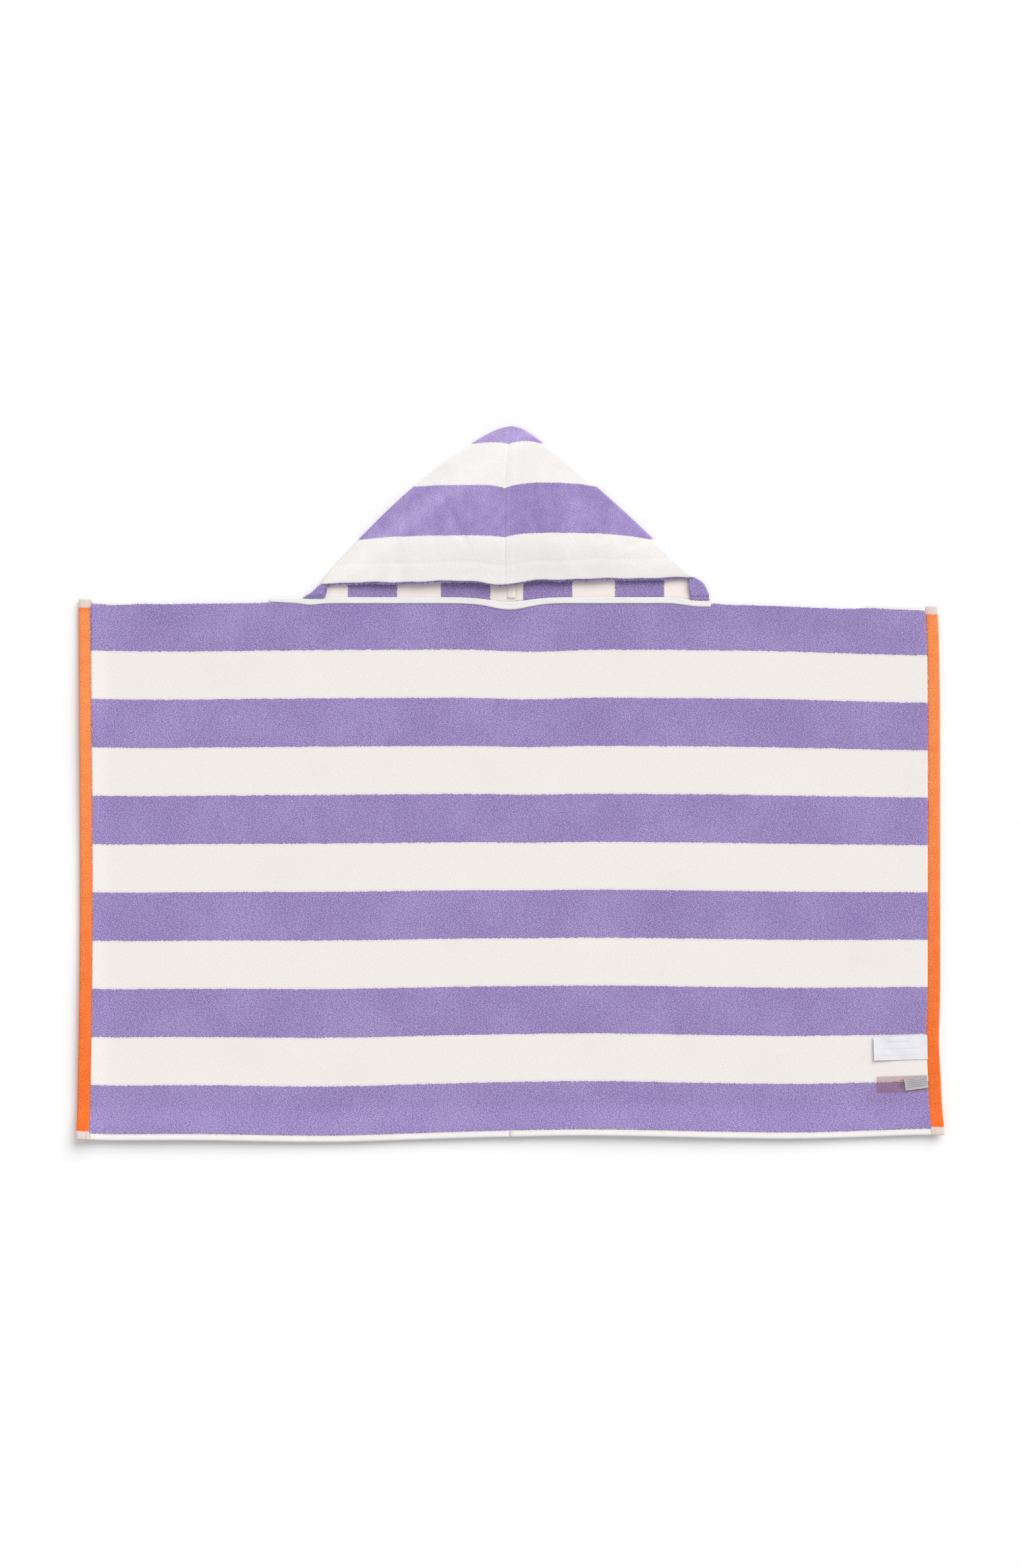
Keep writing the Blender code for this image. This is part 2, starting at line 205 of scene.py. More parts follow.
class Wire:
    """A value in a material's node tree. Arithmetic on it adds Math nodes."""

    def __init__(self, tree, socket=None):
        self.tree = tree
        self.socket = socket

    def node(self, kind, settings=None, inputs=None, output=0):
        """Any node: its settings first, then its inputs, each a value or another Wire."""
        made = self.tree.nodes.new(kind)
        for key, value in (settings or {}).items():
            setattr(made, key, value)
        for key, value in (inputs or {}).items():
            if isinstance(value, Wire):
                self.tree.links.new(value.socket, made.inputs[key])
            else:
                made.inputs[key].default_value = value
        return Wire(self.tree, made.outputs[output])

    def math(self, operation, *values):
        return self.node("ShaderNodeMath", {"operation": operation}, dict(enumerate(values)))

    def __add__(self, other):
        return self.math("ADD", self, other)

    def __sub__(self, other):
        return self.math("SUBTRACT", self, other)

    def __rsub__(self, other):
        return self.math("SUBTRACT", other, self)

    def __mul__(self, other):
        return self.math("MULTIPLY", self, other)

    def __truediv__(self, other):
        return self.math("DIVIDE", self, other)

    __radd__ = __add__
    __rmul__ = __mul__

    def step(self, low, high):
        """0 below low and 1 above high, smoothly."""
        return self.node("ShaderNodeMapRange", {"interpolation_type": "SMOOTHSTEP"},
                         {"Value": self, "From Min": low, "From Max": high})

    def band(self, low, high, soft):
        """1 between low and high, fading to 0 outside them."""
        return self.step(low - soft, low + soft) * (1 - self.step(high - soft, high + soft))

    def fraction(self):
        return self.math("FRACT", self)

    def absolute(self):
        return self.math("ABSOLUTE", self)

    def grain(self, scale, detail=2.0, roughness=0.5, distortion=0.0):
        """Noise over this place, from 0 to 1, with about this many features to the metre."""
        return self.node("ShaderNodeTexNoise", {"noise_dimensions": "3D"},
                         {"Vector": self, "Scale": scale, "Detail": detail, "Roughness": roughness,
                          "Distortion": distortion})

    def ribs(self, direction, scale, distortion=0.0, detail=2.0, detail_scale=1.0):
        """Woven ribs over this place, from 0 to 1, which follow each other along X or Y."""
        return self.node("ShaderNodeTexWave", {"bands_direction": direction},
                         {"Vector": self, "Scale": scale, "Distortion": distortion, "Detail": detail,
                          "Detail Scale": detail_scale})

    def turned(self, angle, stretch=(1, 1, 1)):
        """This place turned by an angle and stretched, for a grain that leans."""
        return self.node("ShaderNodeMapping", None,
                         {"Vector": self, "Rotation": (0, 0, math.radians(angle)), "Scale": stretch})

    def mix(self, low, high):
        """A colour between two, by this share."""
        return self.node("ShaderNodeMix", {"data_type": "RGBA", "clamp_factor": True},
                         {0: self, 6: low if isinstance(low, Wire) else (*low, 1),
                          7: high if isinstance(high, Wire) else (*high, 1)}, 2)


def finish_of(name, roughness, sheen=0.0, specular=0.25):
    """A new material: itself, its shader, and the cloth's flat place with its u and its v."""
    made = bpy.data.materials.new(name)
    made.use_nodes = True
    tree = made.node_tree
    shader = tree.nodes["Principled BSDF"]
    shader.inputs["Roughness"].default_value = roughness
    shader.inputs["Sheen Weight"].default_value = sheen
    shader.inputs["Sheen Roughness"].default_value = 0.6
    shader.inputs["Specular IOR Level"].default_value = specular
    place = Wire(tree).node("ShaderNodeAttribute", {"attribute_name": "flat"}, None, "Vector")
    u = place.node("ShaderNodeSeparateXYZ", None, {0: place}, 0)
    v = place.node("ShaderNodeSeparateXYZ", None, {0: place}, 1)
    return made, shader, place, u, v


def dress(shader, colour, relief, strength, distance):
    """Give a shader its colour and its relief."""
    raised = colour.node("ShaderNodeBump", None,
                         {"Strength": strength, "Distance": distance, "Height": relief})
    colour.tree.links.new(colour.socket, shader.inputs["Base Color"])
    colour.tree.links.new(raised.socket, shader.inputs["Normal"])


# Painted light on the loops: the deep colours are painted shade between the loops, the tip colours painted
# light on their tops.
LAVENDER_SHADED_DEEP = (0.195, 0.133, 0.361)
LAVENDER = (0.332, 0.250, 0.525)
LAVENDER_LIT_TIP = (0.475, 0.382, 0.675)
CREAM_SHADED_DEEP = (0.765, 0.715, 0.676)
CREAM_LIT_TIP = (0.848, 0.812, 0.782)


def pile_colours(loops, patches, cream_shaded_deep, cream_lit_tip):
    """Lavender and cream as loops show them, with painted shade between the loops and painted light on their
    tips.
    """
    level = (loops - 0.5) * 4.6 + (patches - 0.5) * 0.6 + 0.5
    lavender = level.step(0.0, 0.5).mix(LAVENDER_SHADED_DEEP, level.step(0.5, 1.05).mix(LAVENDER, LAVENDER_LIT_TIP))
    return lavender, (level * 0.5 + 0.25).step(0.0, 1.0).mix(cream_shaded_deep, cream_lit_tip)


def terry(name, stripes, cream_shaded_deep=CREAM_SHADED_DEEP, cream_lit_tip=CREAM_LIT_TIP):
    """Looped terry. stripes gives 1 on lavender, and a wider 1 on it and the loops next to it, from
    the cloth's ragged u and v."""
    made, shader, place, u, v = finish_of(name, 0.95, sheen=0.05)
    # The loops' grain gives both their relief and their painted shade and light.
    loops = place.turned(38, (1, 1.7, 1)).grain(640, 0.6, 0.5, 0.5) * 0.6
    loops = loops + place.turned(-34, (1, 1.7, 1)).grain(760, 0.6, 0.5, 0.3) * 0.4
    patches = place.grain(11, 3.0)
    ragged = (place.grain(420, 2.0, 0.6) - 0.5) * 0.0048 + (place.grain(60, 1.0) - 0.5) * 0.0016
    here, nearly = stripes(u + ragged, v + ragged)
    lavender, cream = pile_colours(loops, patches, cream_shaded_deep, cream_lit_tip)
    colour = here.mix((nearly * 0.16).mix(cream, LAVENDER_LIT_TIP), lavender)
    dress(shader, colour, loops * (here * 0.7 + 0.3), 0.8, 0.0022)
    return made


def towel_stripes(u, v):
    """Lavender and cream in turn. The last lavender stripe runs on to the top edge, and the cloth is
    cream under the end hems."""
    counted = (v - FIRST_STRIPE) / (2 * STRIPE)
    inside = 1 - u.absolute().step(HALF_LENGTH - 0.010, HALF_LENGTH - 0.006)
    last = v.step(0.720, 0.721)
    here = counted.fraction().band(0, 0.5, 0.003) * (1 - last) + last
    return here * inside, (counted + 0.02).fraction().band(0, 0.54, 0.006)


towel_terry = terry("towel_terry", towel_stripes)


def towel_heights(u, v):
    """Heights of the towel's upper and lower face. The loops stop at the hems."""
    u, v = np.broadcast_arrays(u, v)
    inside = np.minimum.reduce([(HALF_LENGTH - END_HEM) - np.abs(u), v - SIDE_HEM,
                                WIDTH - np.interp(u, TOP_EDGE_AT, TOP_HEM_SHOWS) - v])
    pile = np.sqrt(ease(-0.0004, EDGE_DROP, inside))
    return WOVEN_TOP + pile * (SHEET_TOP - WOVEN_TOP), WOVEN_UNDER + pile * (SHEET_UNDER - WOVEN_UNDER)


def pair(u, v):
    """Flat places from grids of u and v."""
    return np.stack(np.broadcast_arrays(u, v), axis=-1)


SIDES = (("left", -1), ("right", 1))
SIGN = dict(SIDES)


def wrap(piece):
    """A piece of the towel, with its place baked into its mesh."""
    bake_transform(piece)
    return piece


hem_lines = [END_HEM - 0.0006, END_HEM, END_HEM + 0.0005, END_HEM + 0.0011, END_HEM + 0.002]
edge_lines = [0.0004, 0.0012, 0.0018, 0.0024, 0.0032, 0.0062, 0.0068, 0.0074, SIDE_HEM - 0.0006, SIDE_HEM,
              SIDE_HEM + 0.0005, SIDE_HEM + 0.0011, SIDE_HEM + 0.002]
towel = {}
for side, sign in SIDES:
    out = np.append(spaced(0, HALF_LENGTH - 0.0006, MESH_STEP), [HALF_LENGTH - d for d in hem_lines])
    u = np.sort(sign * out)[None, :]
    v = spaced(0.0006, WIDTH - 0.0006, MESH_STEP, edge_lines)[:, None]
    z_top, z_under = towel_heights(u, v)
    towel[side] = layer(f"towel_cloth_{side}", lay(u, v, z_top), lay(u, v, z_under), pair(u, v), pair(u, v),
                        towel_terry, ["last" if side == "left" else "first"])
    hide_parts(f"towel_{side}", "towel_centre")
    wrap(towel[side])

# ---------------------------------------------------------------------------------------------
# The orange end hems. Each short end is a flat woven border, turned over and sewn down, so the cloth's
# own orange weft shows on both faces. Its two corners show the bare white weave with orange flecks.

PATCH = 0.0115               # length of the bare corner
TURN = 0.0007                # thickness of the turned cloth
ORANGE_TOP = 0.0036
WHITE_TOP = 0.0035
HEM_UNDER = 0.0002


def turned_edge(width, top, bottom):
    """Outer and inner path of a turned edge, as distances in from the edge and heights."""
    outer = [(width, top - 0.0005), (width - 0.0006, top - 0.0001), (0.75 * width, top), (0.5 * width, top),
             (0.25 * width, top), (0.0016, top - 0.0002), (0.0005, top - 0.0007), (0, (top + bottom) / 2),
             (0.0005, bottom + 0.0007), (0.0016, bottom + 0.0001), (0.25 * width, bottom),
             (0.5 * width, bottom), (0.75 * width, bottom), (width - 0.0006, bottom + 0.0001),
             (width, bottom + 0.0004)]
    inner = [(max(a, TURN) if i not in (6, 7, 8) else a + TURN, z - TURN if i < 7 else z + TURN)
             for i, (a, z) in enumerate(outer)]
    inner[7] = (TURN, outer[7][1])
    return np.array(outer), np.array(inner)


def orange_band():
    """Woven border, a little paler towards the hood, with its two bare corners."""
    made, shader, place, u, v = finish_of("orange_weave", 0.85, sheen=0.05)
    end = v.math("MINIMUM", v, WIDTH - v)
    weave = place.ribs("X", 330, 2.0, 2.0, 2.0) * 0.5 + place.ribs("Y", 230, 3.0, 2.0, 2.0) * 0.5
    mottle = place.grain(640, 1.0, 0.5) * 0.8 + place.grain(60, 2.0) * 0.2
    # Painted shade: the orange is darker near the bare corners, where the hem puckers.
    pucker_shade = 1 - end.step(PATCH, PATCH + 0.009)
    level = (mottle - 0.5) * 3.4 + (weave - 0.5) * 0.15 + 0.5 - pucker_shade * 0.25
    # The orange is paler towards the hood and deeper towards the lower edge.
    paler_towards_hood = v.step(0.05, 0.60)
    orange = level.step(0.0, 1.0).mix(paler_towards_hood.mix((0.800, 0.110, 0.009), (0.830, 0.180, 0.035)),
                                      paler_towards_hood.mix((0.930, 0.215, 0.040), (0.930, 0.335, 0.115)))
    # the bare corners: slanting orange flecks in staggered rows on white, with painted shade in a grey net
    # between the woven cells
    lean = u + v * 0.45
    row = (v - u * 0.28) / 0.0021
    shifted = lean / 0.0034 + row.math("FLOOR", row) * 0.5
    fleck = shifted.fraction().band(0.20, 0.72, 0.08) * row.fraction().band(0.25, 0.62, 0.08)
    gap_shade = 1 - (shifted * 2).fraction().band(0.25, 0.85, 0.1) * (row * 2).fraction().band(0.2, 0.8, 0.1)
    caught = (u.absolute() - (HALF_LENGTH - 0.0138)).band(-0.0006, 0.0006, 0.0002)
    white = gap_shade.mix((0.92, 0.905, 0.89), (0.56, 0.53, 0.51))
    bare = (fleck * 0.75 + caught * 0.5).mix(white, (0.86, 0.33, 0.18))
    seam = (end + (place.grain(420, 1.0) - 0.5) * 0.0036).step(PATCH - 0.0003, PATCH + 0.0003)
    colour = seam.mix(bare, orange)
    dress(shader, colour, weave * 0.5 + mottle * 0.5 - fleck * 0.2, 0.55, 0.0007)
    return made


orange_weave = orange_band()


def end_hem_width(sign, v):
    """How wide the hem is here. It runs a little wider towards the lower corner and at the bare ends."""
    low = 1 - v / WIDTH
    end = np.minimum(v, WIDTH - v)
    width = 0.0160 + 0.0028 * low if sign < 0 else 0.0166 + 0.0020 * low
    return width + 0.0016 * ease(PATCH, PATCH - 0.002, end)


end_hem = {}
for side, sign in SIDES:
    fine = (0.0006, 0.0016, 0.0032, 0.0060, PATCH - 0.001, PATCH, PATCH + 0.001)
    stations = spaced(-0.0003, WIDTH + 0.0003, 0.005, fine)[:, None]
    width = end_hem_width(sign, stations)
    end = np.minimum(stations, WIDTH - stations)
    outer, inner = turned_edge(END_HEM, ORANGE_TOP, HEM_UNDER)
    grids = []
    for path in (outer, inner):
        a = path[None, :, 0] * width / END_HEM
        z = path[None, :, 1] + np.zeros_like(a)
        upper = path[None, :, 1] > 0.002
        puff = 0.0005 * ease(PATCH + 0.001, PATCH - 0.002, end)
        puff = puff + 0.00025 * np.sin(stations * 430) * (end > PATCH)
        z = z + puff * upper * np.sin(np.clip(a / width, 0, 1) * math.pi)
        z = z - 0.0004 * ease(0.0008, -0.0003, end) * upper
        grids.append((sign * (HALF_LENGTH + 0.0004 - a), stations + np.zeros_like(a), z))
    (u, v, z), (u_in, v_in, z_in) = grids
    end_hem[side] = layer(f"orange_hem_{side}", lay(u, v, z), lay(u_in, v_in, z_in),
                          pair(u, v), pair(u_in, v_in), orange_weave)
    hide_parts(f"end_hem_{side}")
    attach(end_hem[side], side + "_wrap")

# ---------------------------------------------------------------------------------------------
# The white side hems. The two long edges are turned over twice as narrow white selvedges. The lower one
# shows all along. The top one has rolled under the cloth, and shows only near the corners and the hood.


def white_band():
    """Bare white weave."""
    made, shader, place, u, v = finish_of("white_weave", 0.85, sheen=0.05)
    ribs = place.ribs("X", 260, 2.5, 2.0, 2.0)
    mottle = place.grain(500, 2.0, 0.6) * 0.5 + place.grain(60, 2.0) * 0.5
    level = (ribs - 0.5) * 0.3 + (mottle - 0.5) * 1.2 + 0.5
    dress(shader, level.step(0.0, 1.0).mix((0.800, 0.775, 0.755), (0.885, 0.865, 0.855)),
          ribs * 0.5 + mottle * 0.5, 0.5, 0.0007)
    return made


white_weave = white_band()
END_OF_SIDE_HEM = HALF_LENGTH - 0.0150

lower_hem = {}
top_hem = {}
for side, sign in SIDES:
    along = np.sort(sign * spaced(0, END_OF_SIDE_HEM, 0.006))[:, None]
    outer, inner = turned_edge(SIDE_HEM, WHITE_TOP, HEM_UNDER)
    grids = [lay(along, path[None, :, 0] - 0.0003, path[None, :, 1]) for path in (outer, inner)]
    flats = [pair(along, path[None, :, 0] + 0 * along) for path in (outer, inner)]
    lower_hem[side] = layer(f"lower_selvedge_{side}", *grids, *flats, white_weave)
    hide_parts(f"lower_hem_{side}", "lower_hem_centre")

    shows = np.interp(along, TOP_EDGE_AT, TOP_HEM_SHOWS)
    hidden = ease(0.0012, -0.0008, shows)
    grids = []
    flats = []
    for path in (outer, inner):
        a = path[None, :, 0] / SIDE_HEM * np.maximum(shows + 0.0006, 0.0022) + 0.0026 * hidden
        z = 0.0018 + (path[None, :, 1] - 0.0018) * (1 - 0.55 * hidden)
        grids.append(lay(along, WIDTH + 0.0003 - a, z))
        flats.append(pair(along, WIDTH - a))
    top_hem[side] = layer(f"top_selvedge_{side}", *grids, *flats, white_weave)
    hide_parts(f"top_hem_{side}", "top_hem_centre")
    for hem in (lower_hem[side], top_hem[side]):
        wrap(hem)

# ---------------------------------------------------------------------------------------------
# The hems' stitching and the loops along their edges. The hems are sewn down in cotton thread, and the
# last row of loops leans over each hem, so the edge of the pile looks ragged.


def thread_paint(name, low, high):
    """Twisted cotton thread."""
    made, shader, place, u, v = finish_of(name, 0.75, sheen=0.1)
    here = place.node("ShaderNodeTexCoord", None, None, "Object")
    twist = here.turned(40).ribs("X", 900, 1.0)
    dress(shader, (here.grain(150, 2.0) * 0.7 + twist * 0.3).mix(low, high), twist, 0.4, 0.0003)
    return made


threads = {"white_thread": thread_paint("white_thread", (0.74, 0.71, 0.69), (0.88, 0.86, 0.84)),
           "orange_thread": thread_paint("orange_thread", (0.62, 0.11, 0.02), (0.86, 0.24, 0.07))}


def stitching_tree():
    """Short rounded stitches on points, each lying along its point's own direction."""
    tree = bpy.data.node_groups.new("stitching", "GeometryNodeTree")
    face = tree.interface
    face.new_socket("Geometry", in_out="INPUT", socket_type="NodeSocketGeometry")
    for name, value in (("Length", 0.0024), ("Thickness", 0.0006), ("Unevenness", 0.15)):
        face.new_socket(name, in_out="INPUT", socket_type="NodeSocketFloat").default_value = value
    face.new_socket("Seed", in_out="INPUT", socket_type="NodeSocketInt")
    face.new_socket("Thread", in_out="INPUT", socket_type="NodeSocketMaterial")
    face.new_socket("Geometry", in_out="OUTPUT", socket_type="NodeSocketGeometry")

    def add(kind, inputs=None, **settings):
        made = tree.nodes.new(kind)
        for key, value in settings.items():
            setattr(made, key, value)
        for key, value in (inputs or {}).items():
            if isinstance(value, bpy.types.NodeSocket):
                tree.links.new(value, made.inputs[key])
            else:
                made.inputs[key].default_value = value
        return made

    given = add("NodeGroupInput").outputs
    ball = add("GeometryNodeMeshUVSphere", {"Segments": 6, "Rings": 5, "Radius": 0.5})
    smooth = add("GeometryNodeSetShadeSmooth", {"Geometry": ball.outputs["Mesh"]})
    along = add("GeometryNodeInputNamedAttribute", {"Name": "along"}, data_type="FLOAT_VECTOR")
    turn = add("FunctionNodeAlignRotationToVector", {"Vector": along.outputs["Attribute"]}, axis="X")
    least = add("ShaderNodeMath", {0: 1.0, 1: given["Unevenness"]}, operation="SUBTRACT")
    most = add("ShaderNodeMath", {0: 1.0, 1: given["Unevenness"]}, operation="ADD")
    vary = add("FunctionNodeRandomValue", {2: least.outputs[0], 3: most.outputs[0], 8: given["Seed"]},
               data_type="FLOAT")
    size = add("ShaderNodeCombineXYZ", {0: given["Length"], 1: given["Thickness"], 2: given["Thickness"]})
    scale = add("ShaderNodeVectorMath", {0: size.outputs[0], 3: vary.outputs[1]}, operation="SCALE")
    placed = add("GeometryNodeInstanceOnPoints",
                 {"Points": given["Geometry"], "Instance": smooth.outputs["Geometry"],
                  "Rotation": turn.outputs["Rotation"], "Scale": scale.outputs[0]})
    real = add("GeometryNodeRealizeInstances", {"Geometry": placed.outputs["Instances"]})
    paint = add("GeometryNodeSetMaterial",
                {"Geometry": real.outputs["Geometry"], "Material": given["Thread"]})
    add("NodeGroupOutput", {"Geometry": paint.outputs["Geometry"]})
    return tree


stitching = stitching_tree()


def sew(name, points, along, flat, paint, length, thickness, unevenness=0.15, seed=1):
    """Stitches, or loops of pile, of this size at each point."""
    mesh = bpy.data.meshes.new(name)
    mesh.vertices.add(len(points))
    mesh.vertices.foreach_set("co", points.ravel())
    for key, value in (("along", along), ("flat", np.column_stack([flat, np.zeros(len(flat))]))):
        mesh.attributes.new(key, "FLOAT_VECTOR", "POINT").data.foreach_set("vector", value.ravel())
    made = bpy.data.objects.new(name, mesh)
    bpy.context.scene.collection.objects.link(made)
    work = made.modifiers.new("stitching", "NODES")
    work.node_group = stitching
    given = {"Length": length, "Thickness": thickness, "Unevenness": unevenness, "Seed": seed,
             "Thread": paint}
    for item in stitching.interface.items_tree:
        if item.in_out == "INPUT" and item.name in given:
            work[item.identifier] = given[item.name]
    ready = bpy.context.evaluated_depsgraph_get()
    whole = bpy.data.meshes.new_from_object(made.evaluated_get(ready), preserve_all_data_layers=True,
                                            depsgraph=ready)
    made.modifiers.remove(work)
    made.data = whole
    whole.name = name
    return made


def row(path, pitch):
    """Points a pitch apart along a path of points, and the direction of the path at each."""
    steps = np.linalg.norm(np.diff(path, axis=0), axis=1)
    length = np.append(0, np.cumsum(steps))
    marks = np.arange(pitch / 2, length[-1], pitch)
    points = np.stack([np.interp(marks, length, path[:, i]) for i in range(3)], axis=1)
    ahead = np.stack([np.interp(marks + pitch / 4, length, path[:, i]) for i in range(3)], axis=1)
    return points, ahead - points + (1e-9, 0, 0)


def stitched(name, path, pitch, thread, length, thickness, seed, *nodes):
    """A row of stitches along a path, in place of the CAD's thread."""
    points, along = row(path, pitch)
    made = sew(name, points, along, points[:, :2], threads[thread], length, thickness, seed=seed)
    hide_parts(*nodes)
    return made


def loops_along(name, path, flat, paint, seed, pitch=0.00115, size=0.0015):
    """One ragged row of pile loops along a path."""
    chance = np.random.default_rng(seed)
    steps = np.append(0, np.cumsum(np.linalg.norm(np.diff(path, axis=0), axis=1)))
    marks = np.arange(0, steps[-1], pitch)
    marks = np.clip(marks + chance.uniform(-0.4, 0.4, len(marks)) * pitch, 0, steps[-1])
    points = np.stack([np.interp(marks, steps, path[:, i]) for i in range(3)], axis=1)
    places = np.stack([np.interp(marks, steps, flat[:, i]) for i in range(2)], axis=1)
    points = points + chance.normal(0, 0.00042, points.shape) * (1, 1, 0.5)
    lean = chance.normal(0, 1, points.shape) * (1, 1, 0.35)
    made = sew(name, points, lean, places, paint, size, size * 0.68, 0.3, seed)
    return made


LOOP_Z = 0.0034              # height at which the loops along an edge stand
STITCH_Z = 0.0036

for side, sign in SIDES:
    v = np.linspace(0.003, WIDTH - 0.003, 260)
    path = lay(sign * (HALF_LENGTH - end_hem_width(sign, v) + 0.0012), v, 0.0037)
    stitch = stitched(f"end_hem_stitches_{side}", path, 0.0034, "orange_thread", 0.0026, 0.0006, 3,
                      f"end_hem_thread_{side}")
    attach(stitch, side + "_wrap")

    v = np.linspace(SIDE_HEM, WIDTH - 0.006, 320)
    u = sign * (HALF_LENGTH - end_hem_width(sign, v) - 0.0001)
    loops = loops_along(f"end_loops_{side}", lay(u, v, LOOP_Z),
                        pair(0 * v + sign * (HALF_LENGTH - 0.0082), v), towel_terry, 11 if sign < 0 else 12)
    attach(loops, side + "_wrap")

    u = np.sort(sign * np.linspace(0.0005, END_OF_SIDE_HEM - 0.003, 300))
    path = lay(u, SIDE_HEM - 0.0017, STITCH_Z)
    wrap(stitched(f"lower_hem_stitches_{side}", path, 0.0032, "white_thread", 0.0025, 0.0006, 4,
                  f"lower_hem_thread_{side}", "lower_hem_thread_centre"))

    # the top hem is stitched where it shows
    shows = np.interp(u, TOP_EDGE_AT, TOP_HEM_SHOWS)
    wide = (shows > 0.004) & (np.abs(u) < HALF_LENGTH - END_HEM - 0.003)
    path = lay(u[wide], WIDTH - shows[wide] + 0.0012, STITCH_Z)
    wrap(stitched(f"top_hem_stitches_{side}", path, 0.0032, "white_thread", 0.0025, 0.0006, 5,
                  f"top_hem_thread_{side}"))

    u = np.sort(sign * np.linspace(0.0005, HALF_LENGTH - END_HEM - 0.0005, 400))
    wrap(loops_along(f"lower_loops_{side}", lay(u, SIDE_HEM + 0.0003, LOOP_Z), pair(u, 0 * u + 0.002),
                     towel_terry, 13 if sign < 0 else 14))
    # none are needed where the hood and its tape cover the edge
    clear = np.abs(u) > 0.288
    top_v = np.minimum(WIDTH - np.interp(u, TOP_EDGE_AT, TOP_HEM_SHOWS), WIDTH - 0.0006)
    wrap(loops_along(f"top_loops_{side}", lay(u, top_v, LOOP_Z)[clear], pair(u, top_v - 0.001)[clear],
                     towel_terry, 15 if sign < 0 else 16))

# ---------------------------------------------------------------------------------------------
# The hood's back layer. A triangle of the same terry with its stripes turned to point at the tip, made
# of two pieces joined by a seam just right of the middle. It lies flat and is sewn to the towel's top edge.

HOOD = 0.240                 # height of the hood over the neck seam, laid flat
CROWN_X = -0.0065            # the crown seam
BACK_SEAM_X = 0.009
ROLL = 0.006                 # radius of the hood's slanting folds
UNDER_TAPE = 0.0064          # how far the back layer runs on under the neck tape


def half_width(side, h):
    """Half the hood's width at height h over the neck seam. Its slanting sides bow a little."""
    rise = np.clip(1 - h / HOOD, 0, 1.03)
    blunt = 0.010 * (1 - np.exp(-rise * 110)) * np.exp(-rise * 20)
    if side == "left":
        return blunt + 0.2795 * rise ** 0.74 - 0.0035 * bell(0.016, 0.012, h) + 0.004 * ease(0.003, -0.003, h)
    return blunt + 0.2895 * rise ** 0.78 + 0.0085 * bell(0.018, 0.013, h) - 0.005 * ease(0.003, -0.006, h)


def lean(h):
    """The tip leans a little to the right."""
    return 0.010 * np.clip(h / HOOD, 0, 1) ** 6


def lining_stripes(u, v):
    """Stripes that run up to the tip, met at the back seam, and lavender at both corners."""
    left = ((u + 0.2290) / 0.132).fraction().band(0, 0.530, 0.006)
    right = ((u - 0.0196) / 0.130).fraction().band(0, 0.537, 0.006)
    middle = u.step(BACK_SEAM_X - 0.0005, BACK_SEAM_X + 0.0005)
    here = left * (1 - middle) * (1 - u.step(-0.0275, -0.0265)) + right * middle
    corner = u.band(-0.2655, 0.2580, 0.0008)
    here = here * corner + (1 - corner)
    return here, here


def neck_bend(piece):
    """A piece of the hood's back layer, with its place baked into its mesh."""
    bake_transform(piece)


# The lining's cream is warmer and pinker than the towel's: painted shade, warmed by light bounced off the
# lavender under the hood's front.
lining_terry_warm_shade = terry("lining_terry_warm_shade", lining_stripes, (0.840, 0.735, 0.690), (0.920, 0.850, 0.815))
lining = {}
for side, sign in SIDES:
    h = spaced(-UNDER_TAPE, HOOD - 0.0052, MESH_STEP, (0.0004, 0.0010, 0.0018))[:, None]
    s = spaced(0, 1, 0.012, (0.002, 0.005, 0.01))[None, :]
    reach = np.maximum(half_width(side, h) - 0.0045 + 0.0015 * ease(0.03, 0.01, h), 0.001)
    outside = CROWN_X + lean(h) + sign * reach
    seam = BACK_SEAM_X * ease(HOOD, HOOD - 0.04, h) + lean(h)
    x = seam + s * (outside - seam)
    rim = np.minimum((1 - s) * np.abs(outside - seam), h + UNDER_TAPE)
    full = np.sqrt(ease(-0.0004, 0.0022, rim))
    dip = 0.0009 * np.exp(-np.abs(x - seam) / 0.0016)
    rise = 0.0004 * np.sin(x * 40 + 1) * np.sin(h * 36)
    # its edge goes down with the tape where the crown pulls it
    y = NECK_Y + h - 0.0030 * bell(CROWN_X, 0.030, x) * ease(0.006, -UNDER_TAPE, h)
    top = np.stack([x, y, 0.0021 + full * 0.0016 - dip + rise * full], axis=-1)
    under = np.stack([x, y, 0.0019 - full * 0.0016 + 0 * x], axis=-1)
    flat = np.stack([x, h + 0 * x], axis=-1)
    lining[side] = layer(f"hood_lining_{side}", top, under, flat, flat, lining_terry_warm_shade, ["first"])
    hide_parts(f"hood_back_{side}")
    neck_bend(lining[side])

# its seam's edges, turned to the left and caught down
ALLOWANCE = (0.0, 0.0008, 0.003, 0.006, 0.009, 0.0112, 0.012)
h = spaced(-0.004, HOOD - 0.040, 0.004)[:, None]
across = np.array(ALLOWANCE)[None, :]
edge_z = np.array([0.0, 0.0009, 0.0013, 0.0013, 0.0013, 0.0009, 0.0])[None, :]
x = BACK_SEAM_X * ease(HOOD, HOOD - 0.04, h) - 0.0122 + across + 0.0003 * np.sin(h * 160)
top = np.stack([x, NECK_Y + h + 0 * x, 0.0039 + edge_z + 0 * x], axis=-1)
under = np.stack([x, NECK_Y + h + 0 * x, 0.0037 + 0 * x], axis=-1)
flat = np.stack([x * 0 - 0.015 + across, h + 0 * x], axis=-1)
back_allowance = layer("back_seam_edge", top, under, flat, flat, lining_terry_warm_shade)
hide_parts("back_seam_allowance")
neck_bend(back_allowance)
neck_bend(stitched("back_seam_stitches", top[:, 3] + (0, 0, 0.0001), 0.0032, "white_thread", 0.0024,
                   0.0006, 6, "back_seam_thread"))

